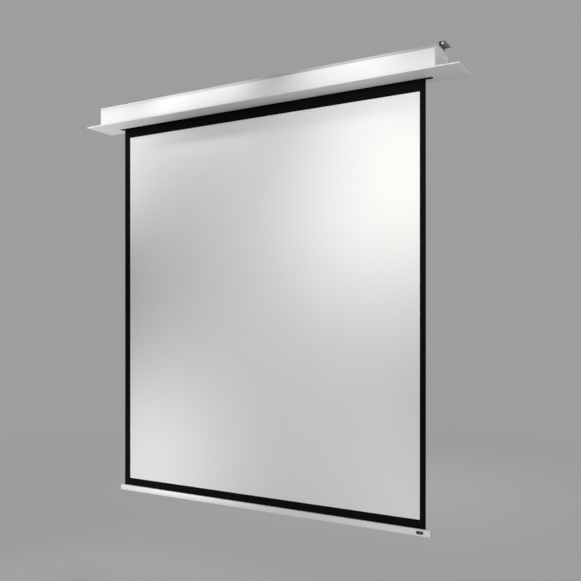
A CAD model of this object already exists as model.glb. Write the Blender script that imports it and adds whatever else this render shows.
"""An in-ceiling motorised projection screen, let down: casing, trim plate, roller, cloth and bottom bar."""
from math import acos, atan2, copysign, cos, exp, pi, radians, sin, tan

import bmesh
import bpy
from mathutils import Matrix, Vector, noise


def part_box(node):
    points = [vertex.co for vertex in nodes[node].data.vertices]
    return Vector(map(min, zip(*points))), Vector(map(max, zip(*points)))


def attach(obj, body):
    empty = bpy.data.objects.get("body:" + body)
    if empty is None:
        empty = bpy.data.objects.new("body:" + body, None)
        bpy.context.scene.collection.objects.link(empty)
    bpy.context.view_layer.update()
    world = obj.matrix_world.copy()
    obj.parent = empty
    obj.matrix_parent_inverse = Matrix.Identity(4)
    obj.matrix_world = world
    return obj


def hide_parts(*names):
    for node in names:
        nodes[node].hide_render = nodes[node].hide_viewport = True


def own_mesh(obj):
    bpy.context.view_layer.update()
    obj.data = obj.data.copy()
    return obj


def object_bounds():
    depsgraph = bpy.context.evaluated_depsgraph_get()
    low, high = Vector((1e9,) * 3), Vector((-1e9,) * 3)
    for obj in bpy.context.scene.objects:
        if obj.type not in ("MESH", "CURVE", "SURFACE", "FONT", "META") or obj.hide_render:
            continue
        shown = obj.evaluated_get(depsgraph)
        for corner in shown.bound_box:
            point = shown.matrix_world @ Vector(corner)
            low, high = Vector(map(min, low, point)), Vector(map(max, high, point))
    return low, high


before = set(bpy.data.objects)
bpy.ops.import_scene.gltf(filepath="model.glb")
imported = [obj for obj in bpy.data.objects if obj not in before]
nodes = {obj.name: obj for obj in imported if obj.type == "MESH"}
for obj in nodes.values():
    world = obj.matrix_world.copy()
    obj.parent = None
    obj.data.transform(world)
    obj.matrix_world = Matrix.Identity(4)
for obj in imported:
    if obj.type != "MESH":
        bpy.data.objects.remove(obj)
scene = bpy.context.scene
cad_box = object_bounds()
MM = 0.001
TURN = 2 * pi
WELD = 1e-6     # metres: corners nearer than this are one
LEVEL = 1e-5    # metres: CAD corners within this lie on the same plane
SIDES, DEPTHS = {"left": -1, "right": 1}, ("front", "rear")
AXIS_Y, AXIS_Z = 0.007325, -0.038962    # the roller's axis runs along X through here
CLOTH = 0.45 * MM     # how thick the cloth is


# ---- view and light

BACKGROUND = (0.335, 0.342, 0.347)
WARM, NEUTRAL, COOL = (1, 0.99, 0.97), (1, 1, 1), (0.985, 0.99, 1)
LAMPS = (    # name, place, target, size, watts, spread in degrees, colour
    ("softbox_right", (1.6, -2.0, -0.1), (0.69, 0, -0.64), (0.8, 0.8), 4.95, 51, WARM),
    ("softbox_upper_left", (-1.7, -1.5, 0.3), (-0.93, 0, -0.24), (0.7, 0.7), 2.15, 54, COOL),
    ("softbox_lower_left", (-1.6, -1.6, -2.2), (-0.52, 0, -2.02), (0.7, 0.7), 3.6, 64, COOL),
    ("softbox_under_left", (-1.5, -0.4, -1.2), (-1.07, 0, -0.11), (0.5, 0.5), 0.75, 50, NEUTRAL),
    ("softbox_low_right", (1.0, -1.6, -2.3), (0.88, 0, -2.1), (0.5, 0.5), 1.05, 60, NEUTRAL),
    ("softbox_side", (2.5, -0.5, -0.95), (1.09, 0, -0.09), (0.4, 0.4), 0.28, 40, NEUTRAL),
    ("strip_casing_left", (-0.3, -0.32, 0.14), (-0.3, -0.096, -0.05), (0.65, 0.06), 0.245, 70, NEUTRAL),
    ("strip_casing_right", (0.55, -0.32, 0.14), (0.55, -0.096, -0.05), (0.5, 0.06), 0.11, 70, NEUTRAL),
    ("softbox_rear", (-0.6, 3.4, 0.6), (0, 0, -0.9), (2.4, 2.4), 45, 180, NEUTRAL),
)


def set_camera():
    """The photograph's view: a level camera whose lens is shifted to its horizon."""
    lens_px, frame_px, horizon_px, turned_left = 719.24, 581, 316.37, 29.577
    data = bpy.data.cameras.new("camera")
    data.sensor_width = 36
    data.lens = lens_px / frame_px * data.sensor_width
    data.shift_y = (horizon_px - frame_px / 2) / frame_px
    camera = held("camera", data)
    camera.location = (2.0429, -3.2225, -1.2223)
    camera.rotation_euler = (pi / 2, 0, radians(turned_left))
    scene.camera = camera


def add_lamp(name, place, target, size, watts, spread, colour):
    data = bpy.data.lights.new(name, "AREA")
    data.shape = "RECTANGLE"
    data.size, data.size_y = size
    data.energy = watts
    data.spread = radians(spread)
    data.color = colour
    lamp = held(name, data)
    lamp.location = place
    lamp.rotation_euler = (Vector(target) - Vector(place)).to_track_quat("-Z", "Y").to_euler()


def set_studio():
    """The lamps, a soft light from all round and the flat background that the camera and gloss see."""
    scene.view_settings.view_transform = "Standard"
    for lamp in LAMPS:
        add_lamp(*lamp)
    world = scene.world = bpy.data.worlds.new("studio")
    world.use_nodes = True
    tree = world.node_tree
    tree.nodes.clear()
    path = node(tree, "LightPath").outputs
    soft = node(tree, "Background", {"Color": (1, 1, 1, 1), "Strength": 0.3})
    pale = node(tree, "Background", {"Color": (*BACKGROUND, 1), "Strength": 1})
    seen = calc(tree, "MAXIMUM", path["Is Camera Ray"], path["Is Glossy Ray"])
    seen = calc(tree, "MAXIMUM", seen, path["Is Transmission Ray"])
    both = node(tree, "MixShader", {0: seen, 1: soft.outputs[0], 2: pale.outputs[0]})
    node(tree, "OutputWorld", {"Surface": both.outputs[0]})


def set_floor():
    """A pale floor that fades into the background far away and keeps the screen's shadow."""
    radius, drop, colour, least_fade = 30, 0.34, (0.78, 0.78, 0.775), 0.55
    bm = bmesh.new()
    bmesh.ops.create_circle(bm, cap_ends=True, segments=96, radius=radius)
    bmesh.ops.translate(bm, verts=bm.verts, vec=(0, 0, cad_box[0].z - drop))
    floor = held("floor", mesh_of("floor", bm))
    material, tree, shader, place = finish("pale_floor", colour, 0.75)
    shade = clouded(tree, noisy(tree, place, 1.5, 3), 0.985)
    wire(tree, shader, Base_Color=tint(tree, colour, shade))
    level = node(tree, "VectorMath", {0: place, 1: (1, 1, 0)}, operation="MULTIPLY")
    away = node(tree, "VectorMath", {0: level.outputs[0]}, operation="LENGTH").outputs["Value"]
    seen = node(tree, "LightPath").outputs["Is Camera Ray"]
    share = calc(tree, "MULTIPLY_ADD", span(tree, away, 1.0, 6.0, smooth=True), 1 - least_fade, least_fade)
    fade = times(tree, seen, share)
    pale = node(tree, "Emission", {"Color": (*BACKGROUND, 1), "Strength": 1})
    both = node(tree, "MixShader", {0: fade, 1: shader.outputs[0], 2: pale.outputs[0]})
    tree.links.new(both.outputs[0], tree.nodes["Material Output"].inputs["Surface"])
    floor.data.materials.append(material)


# ---- shader helpers

def node(tree, kind, inputs=None, **settings):
    made = tree.nodes.new(kind if kind.startswith(("Geometry", "Function")) else "ShaderNode" + kind)
    for key, value in settings.items():
        setattr(made, key, value)
    for key, value in (inputs or {}).items():
        feed(tree, value, made.inputs[key])
    return made


def feed(tree, value, socket):
    if isinstance(value, bpy.types.NodeSocket):
        tree.links.new(value, socket)
    else:
        socket.default_value = value


def calc(tree, operation, *values, clamp=False):
    return node(tree, "Math", dict(enumerate(values)), operation=operation, use_clamp=clamp).outputs[0]


def times(tree, value, *others):
    for other in others:
        value = calc(tree, "MULTIPLY", value, other)
    return value


def span(tree, value, from_low, from_high, to_low=0.0, to_high=1.0, smooth=False):
    return node(tree, "MapRange", {0: value, 1: from_low, 2: from_high, 3: to_low, 4: to_high},
                interpolation_type="SMOOTHSTEP" if smooth else "LINEAR").outputs[0]


def noisy(tree, place, scale, detail):
    return node(tree, "TexNoise", {"Vector": place, "Scale": scale, "Detail": detail}).outputs[0]


def clouded(tree, value, darkest):
    """A noise's middle range, spread from the darkest shade to full."""
    return span(tree, value, 0.3, 0.7, darkest, 1)


def mix(tree, factor, *colours):
    first, second = [value if isinstance(value, bpy.types.NodeSocket) else (*value, 1) for value in colours]
    return node(tree, "Mix", {0: factor, 6: first, 7: second}, data_type="RGBA").outputs[2]


def tint(tree, colour, shade):
    """The colour times a grey value."""
    return mix(tree, shade, (0, 0, 0), colour)


def group(name, fill, **sizes):
    """A shader group of a place and numbers; fill(tree, inputs) gives its outputs, which are numbers too."""
    tree = bpy.data.node_groups.new(name, "ShaderNodeTree")
    tree.interface.new_socket("Vector", in_out="INPUT", socket_type="NodeSocketVector")
    for label, value in sizes.items():
        socket = tree.interface.new_socket(label, in_out="INPUT", socket_type="NodeSocketFloat")
        socket.default_value = value
    made = fill(tree, tree.nodes.new("NodeGroupInput").outputs)
    for label in made:
        tree.interface.new_socket(label, in_out="OUTPUT", socket_type="NodeSocketFloat")
    end = tree.nodes.new("NodeGroupOutput")
    for label, value in made.items():
        tree.links.new(value, end.inputs[label])
    return tree


def use(tree, which, place, **values):
    made = tree.nodes.new("ShaderNodeGroup")
    made.node_tree = which
    for key, value in {"Vector": place, **values}.items():
        feed(tree, value, made.inputs[key])
    return made.outputs


def wire(tree, shader, **values):
    """Sets or links sockets of the shader; an underscore stands for a space."""
    for key, value in values.items():
        feed(tree, value, shader.inputs[key.replace("_", " ")])


def finish(name, colour, rough, metal=0.0, **sockets):
    """A new material, with its tree, its shader and the object's own coordinates."""
    material = bpy.data.materials.new(name)
    material.use_nodes = True
    tree = material.node_tree
    shader = tree.nodes["Principled BSDF"]
    wire(tree, shader, Base_Color=(*colour, 1), Roughness=rough, Metallic=metal, **sockets)
    return material, tree, shader, node(tree, "TexCoord").outputs["Object"]


def bump(tree, shader, height, depth):
    made = node(tree, "Bump", {"Height": height, "Distance": depth, "Strength": 1.0})
    wire(tree, shader, Normal=made.outputs[0])


# ---- surface effects

def fill_peel(tree, start):
    """Orange peel of sprayed or moulded skin, with a slow drift of shade."""
    fine = noisy(tree, start["Vector"], start["Grain"], 2)
    slow = noisy(tree, start["Vector"], 2.4, 3)
    return {"Height": fine, "Shade": clouded(tree, slow, start["Darkest"])}


def fill_rub(tree, start):
    """Thin, broken wear where the surface turns sharply within the radius."""
    soft = node(tree, "Bevel", {"Radius": start["Radius"]}, samples=4)
    hard = node(tree, "NewGeometry")
    bend = node(tree, "VectorMath", {0: soft.outputs[0], 1: hard.outputs["Normal"]}, operation="DOT_PRODUCT")
    edge = span(tree, bend.outputs["Value"], 0.995, 0.86)
    broken = span(tree, noisy(tree, start["Vector"], 160, 4), 0.42, 0.62)
    return {"Mask": times(tree, edge, broken)}


def fill_dust(tree, start):
    """Dust that settles in patches on what faces up."""
    facing = node(tree, "SeparateXYZ", {0: node(tree, "NewGeometry").outputs["Normal"]}).outputs
    up = span(tree, facing[2], 0.6, 0.98)
    patch = clouded(tree, noisy(tree, start["Vector"], 26, 5), 0.35)
    return {"Mask": times(tree, up, patch, start["Amount"])}


def fill_weave(tree, start):
    """Plain weave: threads along X and Z that pass over and under each other."""
    scale = calc(tree, "DIVIDE", pi, start["Pitch"])
    scaled = node(tree, "VectorMath", {0: start["Vector"], "Scale": scale}, operation="SCALE")
    axes = node(tree, "SeparateXYZ", {0: scaled.outputs[0]}).outputs
    warp, weft = [calc(tree, "ABSOLUTE", calc(tree, "SINE", axes[i])) for i in (0, 2)]
    half = [calc(tree, "SINE", times(tree, axes[i], 0.5)) for i in (0, 2)]
    height = calc(tree, "ADD", times(tree, warp, weft), times(tree, *half, 0.5))
    return {"Height": height, "Shade": span(tree, height, -0.5, 1.5, start["Darkest"], 1)}


def fill_drawn(tree, start):
    """Fine lines along X, as extrusion and drawing leave them."""
    long = node(tree, "VectorMath", {0: start["Vector"], 1: (0.6, 1, 1)}, operation="MULTIPLY")
    lines = noisy(tree, long.outputs[0], start["Lines"], 3)
    return {"Height": lines, "Shade": clouded(tree, lines, start["Darkest"])}


def fill_spangle(tree, start):
    """Flakes of hot-dip zinc, with wavy borders."""
    wavy = node(tree, "TexNoise", {"Vector": start["Vector"], "Scale": 90, "Detail": 2})
    sway = (6 * MM,) * 3
    bent = node(tree, "VectorMath", {0: wavy.outputs[1], 1: sway, 2: start["Vector"]},
                operation="MULTIPLY_ADD")
    flakes = node(tree, "TexVoronoi", {"Vector": bent.outputs[0], "Scale": start["Flakes"]})
    grey = node(tree, "SeparateColor", {0: flakes.outputs["Color"]}).outputs[0]
    return {"Shade": span(tree, grey, 0, 1, start["Darkest"], 1), "Flake": grey}


PEEL = group("Peel", fill_peel, Grain=700.0, Darkest=0.97)
RUB = group("Edge rub", fill_rub, Radius=0.8 * MM)
DUST = group("Dust", fill_dust, Amount=0.4)
WEAVE = group("Weave", fill_weave, Pitch=0.6 * MM, Darkest=0.9)
DRAWN = group("Drawn lines", fill_drawn, Lines=900.0, Darkest=0.96)
SPANGLE = group("Spangle", fill_spangle, Flakes=130.0, Darkest=0.7)


# ---- finishes

STEEL, FRESH_ZINC, FRESH_METAL = (0.60, 0.60, 0.59), (0.86, 0.87, 0.88), (0.9,) * 3
DUSTY_COAT, DUSTY_ZINC = (0.42, 0.40, 0.37), (0.36, 0.34, 0.31)


def coated(name, colour, rough, under, grain=700.0, darkest=0.97, dust=0.3, rub=0.5, peel=0.01 * MM,
           metal=0.0, **sockets):
    """Paint, plating or moulded plastic: peel, rubbed edges that show what lies under, and dust on top."""
    material, tree, shader, place = finish(name, colour, rough, metal, **sockets)
    skin = use(tree, PEEL, place, Grain=grain, Darkest=darkest)
    worn = times(tree, use(tree, RUB, place)["Mask"], rub)
    fallen = use(tree, DUST, place, Amount=dust)["Mask"]
    coat = mix(tree, worn, tint(tree, colour, skin["Shade"]), under)
    gloss = calc(tree, "ADD", span(tree, skin["Shade"], darkest, 1, rough + 0.05, rough - 0.03),
                 times(tree, fallen, 0.5), clamp=True)
    wire(tree, shader, Base_Color=mix(tree, fallen, coat, DUSTY_COAT), Roughness=gloss)
    bump(tree, shader, skin["Height"], peel)
    return material


def zinc_sheet(name, colour, rough, flakes, darkest=0.72, dust=0.3):
    """Galvanised sheet: spangle, bright rubbed edges, and dust that takes the shine off."""
    material, tree, shader, place = finish(name, colour, rough, 1.0)
    flake = use(tree, SPANGLE, place, Flakes=flakes, Darkest=darkest)
    fallen = use(tree, DUST, place, Amount=dust)["Mask"]
    worn = use(tree, RUB, place)["Mask"]
    bright = mix(tree, worn, tint(tree, colour, flake["Shade"]), FRESH_ZINC)
    wire(tree, shader, Base_Color=mix(tree, fallen, bright, DUSTY_ZINC),
         Roughness=span(tree, flake["Flake"], 0, 1, rough - 0.08, rough + 0.12),
         Metallic=calc(tree, "SUBTRACT", 1, fallen))
    bump(tree, shader, flake["Flake"], 0.006 * MM)
    return material


def drawn_metal(name, colour, rough, lines, darkest=0.9):
    """Drawn or brushed metal with bright rubbed edges."""
    material, tree, shader, place = finish(name, colour, rough, 1.0)
    grain = use(tree, DRAWN, place, Lines=lines, Darkest=darkest)
    worn = times(tree, use(tree, RUB, place)["Mask"], 0.6)
    wire(tree, shader, Base_Color=mix(tree, worn, tint(tree, colour, grain["Shade"]), FRESH_METAL),
         Roughness=span(tree, grain["Shade"], darkest, 1, rough + 0.08, rough - 0.04))
    bump(tree, shader, grain["Height"], 0.008 * MM)
    return material


def woven(name, colour, rough, darkest, relief, **sockets):
    """Cloth: the weave's relief and shade under a faint, slow drift."""
    material, tree, shader, place = finish(name, colour, rough, **sockets)
    threads = use(tree, WEAVE, place, Pitch=0.9 * MM, Darkest=darkest)
    slow = use(tree, PEEL, place, Grain=60.0, Darkest=0.985)
    shade = times(tree, threads["Shade"], slow["Shade"])
    wire(tree, shader, Base_Color=tint(tree, colour, shade),
         Roughness=span(tree, threads["Shade"], darkest, 1, rough + 0.08, rough - 0.05))
    bump(tree, shader, threads["Height"], relief)
    return material


finishes = {
    "white_paint": coated("casing_white_paint", (0.875, 0.88, 0.88), 0.36, (0.93, 0.93, 0.92)),
    "cover_grey": coated("cover_grey_coat", (0.53, 0.54, 0.55), 0.42, (0.66,) * 3, metal=0.25, dust=0.35),
    "bar_white": coated("bar_white_paint", (0.82, 0.825, 0.825), 0.3, (0.92, 0.92, 0.92), grain=900.0),
    "dark_steel": coated("bracket_dark_coat", (0.28, 0.285, 0.29), 0.36, STEEL, metal=0.7, darkest=0.8,
                         rub=0.8),
    "black_bolt": coated("bolt_black_oxide", (0.03, 0.031, 0.033), 0.4, STEEL, metal=0.8, darkest=0.75,
                         rub=0.7),
    "zinc_steel": drawn_metal("zinc_plate", (0.78, 0.79, 0.81), 0.28, lines=500.0),
    "galvanised": zinc_sheet("galvanised_sheet", (0.66, 0.68, 0.70), 0.36, 130.0),
    "motor_paint": coated("motor_tube_paint", (0.028, 0.029, 0.031), 0.4, STEEL, darkest=0.85),
    "black_plastic": coated("black_nylon", (0.018, 0.018, 0.02), 0.55, (0.05,) * 3, grain=1400.0,
                            peel=0.03 * MM),
    "badge_black": coated("badge_black", (0.006, 0.006, 0.007), 0.5, (0.04,) * 3, dust=0.03, rub=0.3,
                          Specular_IOR_Level=0.25),
    "grey_plastic": coated("grey_abs", (0.38, 0.39, 0.40), 0.5, (0.5,) * 3, grain=1200.0, peel=0.02 * MM),
    "white_plastic": coated("white_nylon", (0.86, 0.86, 0.85), 0.42, (0.90, 0.90, 0.89), grain=1100.0,
                            peel=0.012 * MM),
    "acetal": coated("acetal", (0.74, 0.74, 0.70), 0.38, (0.8, 0.8, 0.78), grain=900.0, dust=0.1),
    "rubber_black": coated("black_rubber", (0.016,) * 3, 0.72, (0.04,) * 3, grain=1600.0, peel=0.03 * MM),
    "cloth_white": woven("screen_white", (0.83, 0.835, 0.83), 0.78, 0.95, 0.02 * MM, Sheen_Weight=0.08),
    "cloth_black": woven("screen_black_back", (0.0045, 0.0045, 0.0048), 0.88, 0.6, 0.04 * MM,
                         Specular_IOR_Level=0.08),
    "cloth_back": woven("screen_backing", (0.021, 0.021, 0.022), 0.72, 0.6, 0.05 * MM, Sheen_Weight=0.12),
    "badge_face": drawn_metal("badge_satin_face", (0.13, 0.13, 0.133), 0.4, lines=700.0, darkest=0.8),
}


# ---- mesh helpers

def held(name, data):
    """A new object in the scene for a mesh, a lamp or the camera."""
    made = bpy.data.objects.new(name, data)
    scene.collection.objects.link(made)
    return made


def mesh_of(name, bm):
    """The closed solids as a mesh, with every face turned outward."""
    bmesh.ops.recalc_face_normals(bm, faces=bm.faces)
    mesh = bpy.data.meshes.new(name)
    bm.to_mesh(mesh)
    bm.free()
    return mesh


def opened(mesh):
    bm = bmesh.new()
    bm.from_mesh(mesh)
    return bm


def piece_of(name, bm, body, slot, replaced=(), more=(), sharp=35):
    """Makes the mesh a piece that rides on its body and stands for its CAD nodes."""
    mesh = mesh_of(name, bm) if isinstance(bm, bmesh.types.BMesh) else bm
    mesh.shade_smooth()
    mesh.set_sharp_from_angle(angle=radians(sharp))
    if not mesh.materials:
        for which in (slot, *more):
            mesh.materials.append(finishes[which])
    piece = held(name, mesh)
    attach(piece, body)
    if replaced:
        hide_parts(*replaced)
    return piece


def soften(piece, width, segments=2, limit="ANGLE"):
    """Rounds the edges and keeps the flats flat."""
    modifier = piece.modifiers.new("edges", "BEVEL")
    modifier.width = width
    modifier.segments = segments
    modifier.limit_method = limit
    modifier.angle_limit = radians(40)
    modifier = piece.modifiers.new("flats", "WEIGHTED_NORMAL")
    modifier.weight = 100


def eased(name, node_name, body, slot, width, broad=None, segments=2):
    """A merged copy of a CAD node with rounded edges; broad(a, b) says which edges get the whole width."""
    slight = 0.25
    bm = opened(nodes[node_name].data)
    bmesh.ops.remove_doubles(bm, verts=bm.verts, dist=WELD)
    bmesh.ops.dissolve_limit(bm, angle_limit=radians(0.5), verts=bm.verts, edges=bm.edges)
    if broad:
        weight = bm.edges.layers.float.new("bevel_weight_edge")
        for edge in bm.edges:
            if len(edge.link_faces) == 2 and edge.calc_face_angle(0) > radians(40):
                edge[weight] = 1.0 if broad(edge.verts[0].co, edge.verts[1].co) else slight
    piece = piece_of(name, bm, body, slot, (node_name,), sharp=180)
    soften(piece, width, segments, limit="WEIGHT" if broad else "ANGLE")


def eased_all(body, rows):
    """Eases CAD nodes: for each the piece, the node, the finish and the width of its edges in mm."""
    for name, node_name, slot, width in rows:
        eased(name, node_name, body, slot, width * MM)


def joined(bm, rings, closed=True):
    """Quads between each ring, or open row, of corners and the next, as a list of faces for each band."""
    return [[bm.faces.new((one[i], one[(i + 1) % len(one)], two[(i + 1) % len(two)], two[i]))
             for i in range(len(one) if closed else len(one) - 1)] for one, two in zip(rings, rings[1:])]


def painted(bands, index):
    for band in bands:
        for face in band:
            face.material_index = index


def extruded(outline, stations, holes=(), order=(2, 0, 1)):
    """A closed outline of (a, b) points through the stations s; order says where (a, b, s) go as x, y, z."""
    bm = bmesh.new()
    rims = [[], []]
    for loop in (outline, *holes):
        rings = [[bm.verts.new([(a, b, s)[i] for i in order]) for a, b in loop] for s in stations]
        joined(bm, rings)
        for rim, end in zip(rims, (rings[0], rings[-1])):
            rim += [bm.edges.get(pair) for pair in zip(end, end[1:] + end[:1])]
    for rim in rims:
        bmesh.ops.triangle_fill(bm, use_beauty=True, edges=rim)
    return bm


def ringed(rings, closed=False):
    """A skin over rings of points; a ring of one point shuts it, and closed joins the last to the first."""
    bm = bmesh.new()
    made = [[bm.verts.new(point) for point in ring] for ring in rings]
    for one, two in zip(made, made[1:] + made[:1] if closed else made[1:]):
        count = max(len(one), len(two))
        for i in range(count):
            j = (i + 1) % count
            corners = [one[i % len(one)], one[j % len(one)], two[j % len(two)], two[i % len(two)]]
            bm.faces.new(list(dict.fromkeys(corners)))
    return bm


def ring_of(radius, height, steps=36):
    """Points round Z; the radius may be a function of the angle, and the height one of the radius."""
    if radius == 0:
        return [(0, 0, height)]
    angles = [TURN * i / steps for i in range(steps)]
    reach = [radius(angle) if callable(radius) else radius for angle in angles]
    rise = [height(r) if callable(height) else height for r in reach]
    return [(r * cos(a), r * sin(a), h) for r, a, h in zip(reach, angles, rise)]


def turned(profile, steps=36):
    """The solid that a profile of (height, radius) points sweeps round Z."""
    return ringed([ring_of(radius, height, steps) for height, radius in profile])


def added(*parts):
    whole = bmesh.new()
    for part in parts:
        mesh = mesh_of("part", part)
        whole.from_mesh(mesh)
        bpy.data.meshes.remove(mesh)
    return whole


def plain(holder):
    """The evaluated object as a plain mesh; the object and its modifiers go."""
    graph = bpy.context.evaluated_depsgraph_get()
    mesh = bpy.data.meshes.new_from_object(holder.evaluated_get(graph), depsgraph=graph)
    bpy.data.objects.remove(holder)
    return mesh


def carved(bm, *cutters):
    """Takes closed cutters out of a closed mesh."""
    base = held("base", mesh_of("base", bm))
    tools = [held("cutter", mesh_of("cutter", cutter)) for cutter in cutters]
    for tool in tools:
        modifier = base.modifiers.new("cut", "BOOLEAN")
        modifier.operation, modifier.solver, modifier.object = "DIFFERENCE", "EXACT", tool
    mesh = plain(base)
    for tool in tools:
        bpy.data.objects.remove(tool)
    return opened(mesh)


def moved(bm, place, facing=(0, 0, 1)):
    """Turns +Z to face that way and moves the mesh to its place."""
    turn = Vector((0, 0, 1)).rotation_difference(Vector(facing)).to_matrix().to_4x4()
    bmesh.ops.transform(bm, matrix=Matrix.Translation(place) @ turn, verts=bm.verts)
    return bm


def drill(place, radius, length, facing=(0, 0, 1), steps=36):
    """A closed cylinder round its place, to carve a hole with."""
    half = length / 2
    return moved(turned([(-half, 0), (-half, radius), (half, radius), (half, 0)], steps), place, facing)


def arc(y, z, radius, start, end, steps):
    return [(y + radius * cos(start + (end - start) * i / steps),
             z + radius * sin(start + (end - start) * i / steps)) for i in range(steps + 1)]


def folded(path, radii, thickness, steps=5):
    """The section of a sheet folded along a path of points, with a bend radius at each corner."""
    line = [Vector(path[0])]
    for before, corner, after, radius in zip(path, path[1:], path[2:], radii):
        corner = Vector(corner)
        into, away = (corner - Vector(before)).normalized(), (Vector(after) - corner).normalized()
        half = acos(max(-1, min(1, into.dot(away)))) / 2
        reach = radius * tan(half)
        centre = corner + (away - into).normalized() * radius / cos(half)
        first, last = corner - into * reach - centre, corner + away * reach - centre
        turn = atan2(first.x * last.y - first.y * last.x, first.dot(last))
        line += [centre + Matrix.Rotation(turn * i / steps, 2) @ first for i in range(steps + 1)]
    line.append(Vector(path[-1]))
    sides = ([], [])
    for i, point in enumerate(line):
        along = (line[min(i + 1, len(line) - 1)] - line[max(i - 1, 0)]).normalized()
        across = Vector((-along.y, along.x)) * thickness / 2
        sides[0].append(tuple(point + across))
        sides[1].append(tuple(point - across))
    return sides[0] + sides[1][::-1]


# ---- geometry trees

def geometry_tree(name, **sizes):
    """A new tree with named inputs, each of them a number or the type of its socket."""
    tree = bpy.data.node_groups.new(name, "GeometryNodeTree")
    kinds = {float: "NodeSocketFloat", int: "NodeSocketInt"}
    for label, value in sizes.items():
        kind = kinds.get(type(value)) or "NodeSocket" + value
        socket = tree.interface.new_socket(label, in_out="INPUT", socket_type=kind)
        if type(value) in kinds:
            socket.default_value = value
    tree.interface.new_socket("Geometry", in_out="OUTPUT", socket_type="NodeSocketGeometry")
    return tree, tree.nodes.new("NodeGroupInput").outputs, tree.nodes.new("NodeGroupOutput").inputs


def ended(tree, geometry, material, end):
    real = node(tree, "GeometryNodeRealizeInstances", {0: geometry})
    done = node(tree, "GeometryNodeSetMaterial", {"Geometry": real.outputs[0], "Material": material})
    tree.links.new(done.outputs[0], end["Geometry"])


def run_tree(tree, name, mesh, **values):
    """Runs a tree and gives a plain mesh; its inputs are set by identifier before it is first evaluated."""
    holder = held(name, mesh)
    modifier = holder.modifiers.new("tree", "NODES")
    modifier.node_group = tree
    for item in tree.interface.items_tree:
        if item.in_out == "INPUT" and item.name in values:
            modifier[item.identifier] = values[item.name]
    return plain(holder)


def make_thread_tree():
    """A rod from the origin down -Z with a V thread and a pointed start, closed at both ends."""
    tree, start, end = geometry_tree("Machine thread", Radius=3 * MM, Depth=0.3 * MM, Pitch=1 * MM,
                                     Length=10 * MM, Sides=25, Rows=60, Material="Material")

    def sums(operation, *values):
        return calc(tree, operation, *values)

    grid = node(tree, "GeometryNodeMeshGrid", {"Size X": 1.0, "Size Y": 1.0, "Vertices X": start["Sides"],
                                               "Vertices Y": start["Rows"]})
    axes = node(tree, "SeparateXYZ", {0: node(tree, "GeometryNodeInputPosition").outputs[0]}).outputs
    turn, share = sums("ADD", axes[0], 0.5), sums("ADD", axes[1], 0.5)
    along = sums("MULTIPLY", share, start["Length"])
    phase = sums("FRACT", sums("SUBTRACT", sums("DIVIDE", along, start["Pitch"]), turn))
    groove = sums("ABSOLUTE", sums("MULTIPLY_ADD", phase, 2.0, -1.0))
    inward = sums("MULTIPLY", groove, start["Depth"])
    pointed = sums("SUBTRACT", 1.0, sums("MINIMUM", sums("DIVIDE", sums("SUBTRACT", 1.0, share), 0.06), 1.0))
    inward = sums("MULTIPLY_ADD", pointed, sums("MULTIPLY", start["Radius"], 0.3), inward)
    open_row = sums("SUBTRACT", 1.0, sums("GREATER_THAN", sums("ABSOLUTE", axes[1]), 0.4999))
    reach = sums("MULTIPLY", sums("SUBTRACT", start["Radius"], inward), open_row)
    angle = sums("MULTIPLY", turn, TURN)
    place = node(tree, "CombineXYZ", {
        0: sums("MULTIPLY", reach, sums("COSINE", angle)),
        1: sums("MULTIPLY", reach, sums("SINE", angle)),
        2: sums("MULTIPLY", along, -1.0)})
    wound = node(tree, "GeometryNodeSetPosition", {"Geometry": grid.outputs[0], "Position": place.outputs[0]})
    sealed = node(tree, "GeometryNodeMergeByDistance", {"Geometry": wound.outputs[0], "Distance": WELD})
    ended(tree, sealed.outputs[0], start["Material"], end)
    return tree


def enabled(sockets):
    return [socket for socket in sockets if socket.enabled]


def make_setting_tree():
    """Sets one fastener on every point, facing along the point's own vector and turned at random."""
    tree, start, end = geometry_tree("Set fasteners", Points="Geometry", Fastener="Object", Seed=1,
                                     Material="Material")
    facing = node(tree, "GeometryNodeInputNamedAttribute", {"Name": "facing"}, data_type="FLOAT_VECTOR")
    aim = node(tree, "FunctionNodeAlignRotationToVector", {"Vector": facing.outputs[0]}, axis="Z")
    chance = node(tree, "FunctionNodeRandomValue", data_type="FLOAT")
    least, most, _, seed = enabled(chance.inputs)
    for socket, value in ((least, 0.0), (most, TURN), (seed, start["Seed"])):
        feed(tree, value, socket)
    angle = enabled(chance.outputs)[0]
    spin = node(tree, "FunctionNodeAxisAngleToRotation", {"Axis": (0, 0, 1), "Angle": angle})
    turned_aim = node(tree, "FunctionNodeRotateRotation", {0: aim.outputs[0], 1: spin.outputs[0]},
                      rotation_space="LOCAL")
    fastener = node(tree, "GeometryNodeObjectInfo", {"Object": start["Fastener"]}, transform_space="ORIGINAL")
    placed = node(tree, "GeometryNodeInstanceOnPoints", {
        "Points": start["Points"], "Instance": fastener.outputs["Geometry"],
        "Rotation": turned_aim.outputs[0]})
    ended(tree, placed.outputs[0], start["Material"], end)
    return tree


THREAD = make_thread_tree()
SETTING = make_setting_tree()


# ---- fasteners

def thread(radius, pitch, length):
    """A threaded shank, with its sizes in mm and eight rows to a pitch."""
    depth, rows = 0.45 * pitch, max(12, round(length / pitch * 8))
    mesh = run_tree(THREAD, "thread", bpy.data.meshes.new("thread"), Radius=radius * MM, Depth=depth * MM,
                    Pitch=pitch * MM, Length=length * MM, Rows=rows, Material=finishes["zinc_steel"])
    return opened(mesh)


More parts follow.
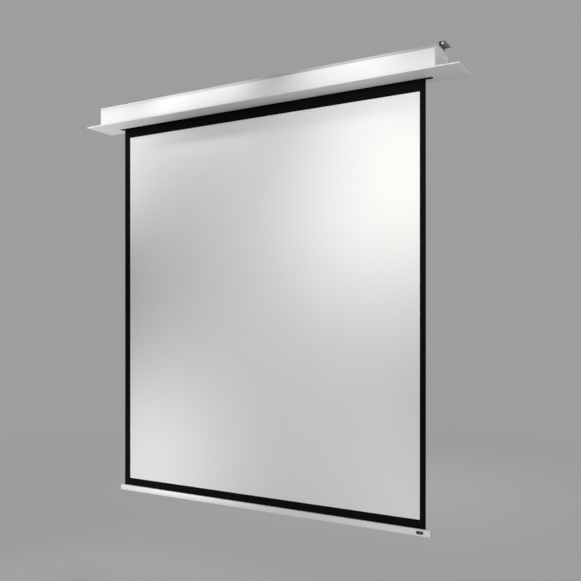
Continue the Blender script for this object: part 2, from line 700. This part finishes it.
def hexed(flats, height, hole=0):
    """A hexagon, in mm, with both faces chamfered to a circle and a threaded hole if it has one."""
    half, height, hole, slope = flats * MM / 2, height * MM, hole * MM, tan(radians(30))
    rim, mouth, groove = half * 0.96, hole * 1.12, hole * 1.09

    def side(angle):
        return half / cos((angle + TURN / 12) % (TURN / 6) - TURN / 12)

    rings = [ring_of(rim, 0), ring_of(side, lambda r: (r - rim) * slope),
             ring_of(side, lambda r: height - (r - rim) * slope), ring_of(rim, height)]
    if not hole:
        return ringed([ring_of(0, 0), *rings, ring_of(0, height)])
    pitch = height / 6
    bore = [ring_of(hole if i % 2 else groove, height - pitch * (0.5 + i / 2)) for i in range(11)]
    return ringed([*rings, ring_of(mouth, height), *bore, ring_of(mouth, 0)], closed=True)


def crossed(radius, height, shank, pitch, length, domed=0.4):
    """A pan head with a cross recess over a threaded shank, in mm."""
    radius, height = radius * MM, height * MM
    edge = height * (1 - domed)
    dome = [(edge + height * domed * sin(i * TURN / 24), radius * (0.5 + 0.5 * cos(i * TURN / 24)))
            for i in range(1, 7)]
    head = turned([(0, 0), (0, radius * 0.94), (height * 0.08, radius), (edge, radius), *dome, (height, 0)])
    for quarter in (0, 1):
        blade = bmesh.new()
        bmesh.ops.create_cube(blade, size=1)
        for vert in blade.verts:
            long, thin, top = (0.5, 0.16, 0.35) if vert.co.z < 0 else (1.1, 0.24, 1.1)
            vert.co = (vert.co.x * radius * long, vert.co.y * radius * thin, height * top)
        bmesh.ops.rotate(blade, verts=blade.verts, matrix=Matrix.Rotation(quarter * TURN / 4, 3, "Z"))
        head = carved(head, blade)
    return added(head, thread(shank, pitch, length))


def seat_of(node_name, facing=(0, 0, 1), height=0):
    """Where a fastener's head sits, from its CAD box and the way that its head faces."""
    low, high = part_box(node_name)
    reach = Vector([(high[i] - low[i]) / 2 * facing[i] for i in range(3)])
    return (low + high) / 2 + reach - Vector(facing) * height


def set_out(name, template, height, spots, seed, body="casing", slot="zinc_steel"):
    """Sets a fastener for each CAD node in a dict of facings, or on each (place, facing); height is in mm."""
    shown = tuple(spots) if isinstance(spots, dict) else ()
    seats = [(seat_of(label, spots[label], height * MM), spots[label]) for label in shown] or spots
    points = bpy.data.meshes.new(name)
    points.from_pydata([place for place, _ in seats], [], [])
    points.attributes.new("facing", "FLOAT_VECTOR", "POINT").data.foreach_set(
        "vector", [value for _, facing in seats for value in facing])
    fastener = held("fastener", mesh_of("fastener", template))
    mesh = run_tree(SETTING, name, points, Fastener=fastener, Seed=seed, Material=finishes[slot])
    bpy.data.objects.remove(fastener)
    piece_of(name, mesh, body, slot, shown)


def spots_of(pattern, facing, each=("",)):
    """Node names from a pattern, each with its facing; facing may depend on the side's hand."""
    return {pattern.format(side=side, each=choice): facing(hand) if callable(facing) else facing
            for side, hand in SIDES.items() for choice in each}


def make_fasteners():
    """The threaded fasteners that stand for CAD nodes: M6 bolts, M8 and M5 nuts and cross-head screws."""
    set_out("hanger_bolts", added(hexed(10, 4), thread(3, 1, 6.6)), 4,
            spots_of("hanger_bolt_{side}_{each}", lambda hand: (-hand, 0, 0), DEPTHS), 3, slot="black_bolt")
    set_out("hanger_weld_nuts", hexed(13, 6.5, 3.7), 6.5,
            spots_of("hanger_nut_{side}_{each}", (0, 0, -1), DEPTHS), 5)
    set_out("trim_stud_nuts", hexed(8, 4, 2.65), 4, spots_of("trim_nut_{side}_{each}", (0, 0, 1), DEPTHS), 7)
    set_out("lid_screws", crossed(4, 2.4, 2, 0.7, 7), 2.4, spots_of("cover_screw_{side}", (0, 0, 1)), 9)
    outward = {f"{owner}_bracket_screw_{spot}": (hand, 0, 0)
               for owner, hand in (("motor", -1), ("idler", 1)) for spot in ("lower", "upper")}
    set_out("bearing_plate_screws", crossed(4.5, 3, 2.5, 0.8, 5.6), 3, outward, 11)
    set_out("bar_end_screws", crossed(3.6, 1, 2, 1.4, 30, 0.5), 1,
            spots_of("cap_screw_{side}", lambda hand: (hand, 0, 0)), 13, body="bottom_bar")


# ---- casing

def wall_panel(name, node_name, face):
    """A wall folded in at its top and foot, with two steps that make room for the cover and the tray."""
    low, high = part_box(node_name)
    sheet, step, half, bends = 1.5 * MM, 1.5 * MM, 96 * MM, (1.4, 0.74, 0.74, 1.1, 1.1, 1.4)
    outer, upper, lower = sheet / 2, step + sheet / 2, 3.05 * MM
    top, shoulder, ankle, foot = high.z - sheet / 2, -14.05 * MM, -95.95 * MM, low.z + sheet / 2
    path = [(13.5 * MM, top), (upper, top), (upper, shoulder), (outer, shoulder), (outer, ankle),
            (lower, ankle), (lower, foot), (18.3 * MM, foot)]
    path = [(face * (half - inward), z) for inward, z in path]
    section = folded(path, [bend * MM for bend in bends], sheet)
    piece_of(name, extruded(section, (low.x, high.x)), "casing", "white_paint", (node_name,))


def trim_edge(a, b):
    """The tray's outer bottom edges and its upright corners."""
    low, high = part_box("trim_plate")

    def lies_on(axis, *places):
        return any(abs(a[axis] - place) < LEVEL and abs(b[axis] - place) < LEVEL for place in places)

    at_end, at_side = lies_on(0, low.x, high.x), lies_on(1, low.y, high.y)
    upright = at_end and abs(a.y - b.y) < LEVEL
    return upright or (lies_on(2, low.z) and (at_end or at_side))


def cover_lid():
    """The folded cover with its four swages pressed up, and the holes for its screws and the gland."""
    low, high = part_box("top_cover")
    sheet, lift, half = 1.2 * MM, 1 * MM, high.y
    crest, foot = 4, 8             # mm from a swage's middle to the edge of its top and to its foot
    rim, fade = 3 * MM, 14 * MM    # the swages start this far in and rise over this length
    skirt, flat, section = half - sheet / 2, -sheet / 2, []
    path = [(-skirt, low.z), (-skirt, flat), (skirt, flat), (skirt, low.z)]
    outline = folded(path, (2 * MM, 2 * MM), sheet, 6)
    for (y, z), (next_y, _) in zip(outline, outline[1:] + outline[:1]):
        section.append((y, z))
        if abs(next_y - y) > half:
            inward = [abs(y) - step * MM for step in range(3, 20, 4)]
            section += [(copysign(at, y), z) for at in inward]
            section += [(copysign(at, next_y), z) for at in reversed(inward)]
    swages = [((2 * i + 1) / 4 - 1) * high.x for i in range(4)]
    stations = [low.x]
    for middle in swages:
        stations += [middle + step * MM for step in (*range(-foot, 1 - crest), *range(crest, foot + 1))]
    stations.append(high.x)
    bm, rows = bmesh.new(), []
    for x in stations:
        near = min(abs(x - middle) for middle in swages) / MM
        rise = 0.5 + 0.5 * cos(pi * min(1, max(0, near - crest) / (foot - crest)))
        row = []
        for y, z in section:
            inside = min(1, max(0, half - abs(y) - rim) / fade)
            row.append(bm.verts.new((x, y, z + lift * rise * (0.5 - 0.5 * cos(pi * inside)))))
        rows.append(row)
    joined(bm, rows)
    for row in (rows[0], rows[-1]):
        for i in range(len(row) // 2 - 1):
            bm.faces.new((row[i], row[i + 1], row[-2 - i], row[-1 - i]))
    gland, through = seat_of("cable_gland"), 10 * MM
    holes = [drill((gland.x, gland.y, 0), 8.3 * MM, through)]
    holes += [drill((seat_of(f"cover_screw_{side}").x, 0, 0), 2.3 * MM, through) for side in SIDES]
    piece_of("cover_lid", carved(bm, *holes), "casing", "cover_grey", ("top_cover",))


def hanger_angle(side, hand):
    """A folded angle with a bent corner and its drilled holes."""
    node_name = f"hanger_bracket_{side}"
    low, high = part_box(node_name)
    sheet, through = 3 * MM, 12 * MM
    inner, outer = sorted((low.x, high.x), key=abs)
    web, shelf = inner + hand * sheet / 2, high.z - sheet / 2
    section = folded([(web, low.z), (web, shelf), (outer, shelf)], (3.2 * MM,), sheet, 8)
    bm = extruded(section, (low.y, high.y), order=(0, 2, 1))
    holes = []
    for depth in DEPTHS:
        rod = seat_of(f"hanger_nut_{side}_{depth}")
        bolt = seat_of(f"hanger_bolt_{side}_{depth}", (hand, 0, 0))
        holes.append(drill((rod.x, rod.y, high.z), 4.5 * MM, through))
        holes.append(drill((web, bolt.y, bolt.z), 3.3 * MM, through, (1, 0, 0)))
    piece = piece_of(f"hanger_angle_{side}", carved(bm, *holes), "casing", "dark_steel", (node_name,),
                     sharp=30)
    soften(piece, 0.4 * MM)


def slot_pile():
    """Black pile strips on the slot's two lips, which keep the cloth and the bar off the metal."""
    bar_low, bar_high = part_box("weight_bar")
    front_room, rear_room, end_room = 2 * MM, 8 * MM, 5.7 * MM
    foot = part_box("trim_plate")[0].z + 0.6 * MM
    ends = (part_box("bar_cap_left")[0].x - end_room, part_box("bar_cap_right")[1].x + end_room)
    section = ((0.05, 0), (0.5, 0.1), (0.8, 0.6), (0.85, 3.6), (0.8, 6.6), (0.5, 7.1), (0.05, 7.2))
    strips = [extruded([(lip + inward * y * MM, foot + z * MM) for y, z in section], ends)
              for lip, inward in ((bar_low.y - front_room, 1), (bar_high.y + rear_room, -1))]
    piece_of("slot_pile", added(*strips), "casing", "rubber_black")


def make_casing():
    wall_panel("front_sheet", "front_panel", -1)
    wall_panel("rear_sheet", "rear_panel", 1)
    eased("trim_tray", "trim_plate", "casing", "white_paint", 1.4 * MM, trim_edge, 3)
    slot_pile()
    cover_lid()
    for side, hand in SIDES.items():
        eased(f"end_sheet_{side}", f"end_plate_{side}", "casing", "white_paint", 0.5 * MM)
        hanger_angle(side, hand)
    for owner in ("motor", "idler"):
        eased(f"{owner}_bearing_plate", f"{owner}_bracket", "casing", "galvanised", 0.4 * MM)


# ---- motor, wiring and roller

def inlet_gland():
    """Hexagon, domed nut with grip ribs and threaded tail of the mains inlet."""
    tail, top = (corner.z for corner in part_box("cable_gland"))
    quarter = [i * TURN / 20 for i in range(1, 6)]

    def ribbed(angle):
        return 10 * MM - 0.6 * MM * max(0, cos(14 * angle)) ** 4

    profile = [(4 * MM, tail), (7.4 * MM, tail)]
    profile += [((7.9 if i % 2 else 7.3) * MM, tail + (0.4 + 0.75 * i) * MM) for i in range(10)]
    profile += [(8 * MM, 0.3 * MM), (8 * MM, 3 * MM), (9.6 * MM, 5.3 * MM), (9.6 * MM, 5.6 * MM),
                (ribbed, 5.9 * MM), (ribbed, 8.6 * MM), (9.5 * MM, 9.2 * MM)]
    profile += [((7 + 2.5 * cos(a)) * MM, (9.2 + 2.8 * sin(a)) * MM) for a in quarter]
    profile += [(6.2 * MM, top - 0.6 * MM), (4 * MM, top - 1.4 * MM)]
    body = ringed([ring_of(radius, height, 84) for radius, height in profile], closed=True)
    collar = carved(moved(hexed(22, 5), (0, 0, 0.3 * MM)), drill((0, 0, 3 * MM), 7 * MM, 20 * MM))
    place = seat_of("cable_gland")
    whole = moved(added(body, collar), (place.x, place.y, 0))
    piece_of("inlet_gland", whole, "casing", "black_plastic", ("cable_gland",))


def terminal_strip():
    """Four poles with barriers between them, a sunk clamp screw in front and a wire hole below each."""
    low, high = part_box("terminal_block")
    poles, middle = 4, (low.y + high.y) / 2
    pitch, screw_z = (high.x - low.x) / poles, low.z + 6.5 * MM
    section = [(low.y, low.z + 2 * MM), (low.y + 2 * MM, low.z), (high.y, low.z), (high.y, high.z),
               (low.y + 5 * MM, high.z), (low.y + 5 * MM, high.z - 3 * MM), (low.y, high.z - 4.5 * MM)]
    groove = ((-0.6, 1), (0.6, 1), (0.4, -2), (-0.4, -2))
    cutters, screws = [], []
    for pole in range(poles):
        x = low.x + pitch * (pole + 0.5)
        cutters.append(drill((x, middle, low.z), 2 * MM, 18 * MM, steps=24))
        cutters.append(drill((x, low.y, screw_z), 2.7 * MM, 6 * MM, (0, -1, 0), 24))
        screws.append(((x, low.y + 2.9 * MM, screw_z), (0, -1, 0)))
        if pole:
            outline = [(x - pitch / 2 + across * MM, low.y - out * MM) for across, out in groove]
            cutters.append(extruded(outline, (low.z - 1 * MM, high.z + 1 * MM), order=(0, 1, 2)))
    piece = piece_of("terminal_strip", carved(extruded(section, (low.x, high.x)), *cutters), "casing",
                     "white_plastic", ("terminal_block",), sharp=30)
    soften(piece, 0.15 * MM)
    set_out("terminal_clamp_screws", crossed(2.5, 1.4, 1.3, 0.6, 4, 0.2), 0, screws, 17)


def lid_corner_screws():
    low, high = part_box("junction_lid")
    inset = 3.4 * MM
    corners = [((x, y, low.z), (0, 0, -1)) for x in (low.x + inset, high.x - inset)
               for y in (low.y + inset, high.y - inset)]
    set_out("wiring_lid_screws", crossed(2.6, 1.5, 1.3, 0.6, 9), 0, corners, 15)


def make_motor():
    eased_all("casing", (
        ("motor_end_cap", "motor_head", "black_plastic", 0.5),
        ("motor_sleeve", "motor_tube", "motor_paint", 0.4),
        ("motor_core", "motor_cartridge", "galvanised", 0.4),
        ("lead_sheath", "motor_lead", "rubber_black", 0.2),
        ("lead_bush", "lead_grommet", "rubber_black", 0.3),
        ("wiring_box", "junction_box", "grey_plastic", 0.6),
        ("wiring_box_lid", "junction_lid", "grey_plastic", 0.6),
        ("inlet_locknut", "gland_locknut", "black_plastic", 0.4),
        ("bearing_bush", "idler_bush", "acetal", 0.4)))
    for which in ("upper", "lower"):
        eased(f"{which}_limit_spindle", f"{which}_limit_screw", f"{which}_limit_adjuster", "white_plastic",
              0.25 * MM)
    terminal_strip()
    lid_corner_screws()
    inlet_gland()


def make_roller():
    eased_all("roller", (
        ("roller_barrel", "roller_tube", "galvanised", 0.4),
        ("stop_ring", "limit_crown", "white_plastic", 0.4),
        ("drive_shaft", "output_shaft", "zinc_steel", 0.4),
        ("drive_hub", "drive_wheel", "white_plastic", 0.4),
        ("spring_clip", "shaft_clip", "zinc_steel", 0.3),
        ("end_plug", "idler_plug", "white_plastic", 0.5),
        ("end_pin", "idler_pin", "zinc_steel", 0.5)))


# ---- cloth

def wound_cloth():
    """Three safety turns of black-backed cloth round the roller."""
    low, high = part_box("cloth_wraps")
    turns, steps, half = 3, 64, 0.42 * CLOTH
    inner, outer = 26.3 * MM, high.z - AXIS_Z - 0.05 * MM
    bm, rings = bmesh.new(), []
    for i in range(turns * steps + 1):
        share = i / (turns * steps)
        middle, angle = inner + CLOTH / 2 + (outer - inner - CLOTH) * share, TURN * turns * share
        y, z = cos(angle), sin(angle)
        section = ((low.x, middle - half), (low.x, middle + half), (high.x, middle + half),
                   (high.x, middle - half))
        rings.append([bm.verts.new((x, AXIS_Y + radius * y, AXIS_Z + radius * z)) for x, radius in section])
    joined(bm, rings)
    for end in (rings[0], rings[-1]):
        bm.faces.new(end)
    piece = piece_of("cloth_roll", bm, "roller", "cloth_black", ("cloth_wraps",))
    piece.data.materials[0] = finishes["cloth_back"]


def stepped(marks, steps):
    """Points from mark to mark, with even steps of about the given size in each stretch."""
    line = []
    for start, end, step in zip(marks, marks[1:], steps):
        count = max(1, round(abs(end - start) / step))
        line += [start + (end - start) * i / count for i in range(count)]
    return [*line, marks[-1]]


def hanging_cloth():
    """White picture in its black border, black behind; it is pulled flat by the bar."""
    low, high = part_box("projection_cloth")
    left, right, bottom, top = -0.904, 0.896, -2.184, -0.159    # the white picture
    white, black, behind = range(3)
    ripple, curl, curl_reach = 1.6 * MM, 1.3 * MM, 30 * MM
    columns = stepped((low.x, left, right, high.x), (0.014, 0.04, 0.01))
    rows = stepped((low.z, bottom, top, high.z), (0.016, 0.045, 0.02))
    length, middle = high.z - low.z, (low.y + high.y) / 2
    bm = bmesh.new()

    def corner(x, z, side):
        """The cloth waves and curls freely between its straight ends at the roller and the bar."""
        free = sin(pi * (z - low.z) / length)
        wave = ripple * noise.noise(Vector((x * 2.1, z * 0.55, 3.7)))
        rolled = curl * exp(-min(x - low.x, high.x - x) / curl_reach)
        return bm.verts.new((x, middle + side * CLOTH / 2 + free * (wave + rolled), z))

    front, back = [[[corner(x, z, side) for x in columns] for z in rows] for side in (-1, 1)]
    edges = [[[row[j] for row in grid] for grid in (front, back)] for j in (0, -1)]
    edges += [[grid[i] for grid in (front, back)] for i in (0, -1)]
    for edge in edges:
        painted(joined(bm, edge, closed=False), black)
    painted(joined(bm, back, closed=False), behind)
    for i, band in enumerate(joined(bm, front, closed=False)):
        for j, face in enumerate(band):
            x, z = (columns[j] + columns[j + 1]) / 2, (rows[i] + rows[i + 1]) / 2
            face.material_index = white if left < x < right and bottom < z < top else black
    piece = piece_of("screen_sheet", bm, "casing", "cloth_white", ("projection_cloth", "masking_border"),
                     more=("cloth_black", "cloth_back"))
    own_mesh(piece)


# ---- bottom bar

def bar_profile():
    """An extrusion with a round channel open at the top for the hem, and a chamber for the ballast."""
    low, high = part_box("weight_bar")
    middle, top, radius, steps = (low.y + high.y) / 2, high.z, 4 * MM, 8
    corners = ((high.y - radius, low.z + radius), (high.y - radius, top - radius),
               (low.y + radius, top - radius), (low.y + radius, low.z + radius))
    outline = []
    for quarter, (y, z) in enumerate(corners, -1):
        outline += arc(y, z, radius, quarter * TURN / 4, (quarter + 1) * TURN / 4, steps)
    notch, channel, drop = 1.5 * MM, 4 * MM, 8 * MM
    lip = acos(notch / channel)
    throat = arc(middle, top - drop, channel, lip, -pi - lip, 28)
    on_top = 2 * (steps + 1)
    outline[on_top:on_top] = [(middle + notch, top), *throat, (middle - notch, top)]
    chamber = arc(middle, top - 22 * MM, 7.5 * MM, 0, TURN * 35 / 36, 35)
    bm = extruded(outline, (low.x, high.x), (chamber,))
    piece_of("bar_profile", bm, "bottom_bar", "bar_white", ("weight_bar",))


def bar_end(side, hand):
    """End cap: its plan is rounded like the CAD's, its edges are softened and its screw sits in a recess."""
    node_name = f"bar_cap_{side}"
    low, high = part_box(node_name)
    outer = high.x if hand > 0 else low.x
    inner = outer - hand * 10 * MM

    def broad(a, b):
        outside = min(abs(a.x), abs(b.x)) > abs(inner) - WELD
        return outside and max(abs(a.x - outer), abs(b.x - outer)) < 9.9 * MM

    eased(f"bar_end_{side}", node_name, "bottom_bar", "white_plastic", 0.9 * MM, broad, 3)


def plain_badge():
    """A bare oval plate: a raised black rim round a satin face."""
    low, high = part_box("bare_badge")
    tall, middle = high.z - low.z, (low + high) / 2
    run = (high.x - low.x - tall) / 2
    deep = high.y - low.y
    levels = [(0, 0), (0, 0.75), (0.25, 0.95), (0.6, 1.0), (4.0, 0.98), (4.4, 0.72), (4.6, 0.62),
              (5.8, 0.68), (6.6, 0.72)]    # mm in from the outline, and the share of the plate's depth
    rim_bands = 6
    bm, loops = bmesh.new(), []
    for inset, rise in levels:
        radius = tall / 2 - inset * MM
        outline = [point for hand in (1, -1)
                   for point in arc(hand * run, 0, radius, -hand * TURN / 4, (2 - hand) * TURN / 4, 14)]
        loops.append([bm.verts.new((middle.x + a, high.y - rise * deep, middle.z + b)) for a, b in outline])
    painted(joined(bm, loops)[rim_bands:], 1)
    bm.faces.new(loops[0])
    bm.faces.new(loops[-1]).material_index = 1
    piece_of("plain_badge", bm, "bottom_bar", "badge_black", ("bare_badge",), more=("badge_face",))


def cloth_hem():
    """The cloth's end, sewn round the hem rod inside the bar's channel."""
    low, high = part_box("hem_rod")
    middle, axis = (low.y + high.y) / 2, (low.z + high.z) / 2
    radius, thick, start, end = (high.z - low.z) / 2 + CLOTH, 0.36 * MM, 0.2, 1.3
    outside, inside = [arc(middle, axis, reach, TURN * start, TURN * end, 40)
                       for reach in (radius, radius - thick)]
    bm = extruded(outside + inside[::-1], (low.x, high.x))
    piece = piece_of("cloth_hem", bm, "bottom_bar", "cloth_black")


def make_bar():
    bar_profile()
    eased_all("bottom_bar", (("hem_core", "hem_rod", "grey_plastic", 0.3),
                             ("ballast", "ballast_rod", "galvanised", 0.4)))
    for side, hand in SIDES.items():
        bar_end(side, hand)
    plain_badge()
    cloth_hem()


set_camera()
set_studio()
set_floor()
make_casing()
make_fasteners()
make_motor()
make_roller()
wound_cloth()
hanging_cloth()
make_bar()
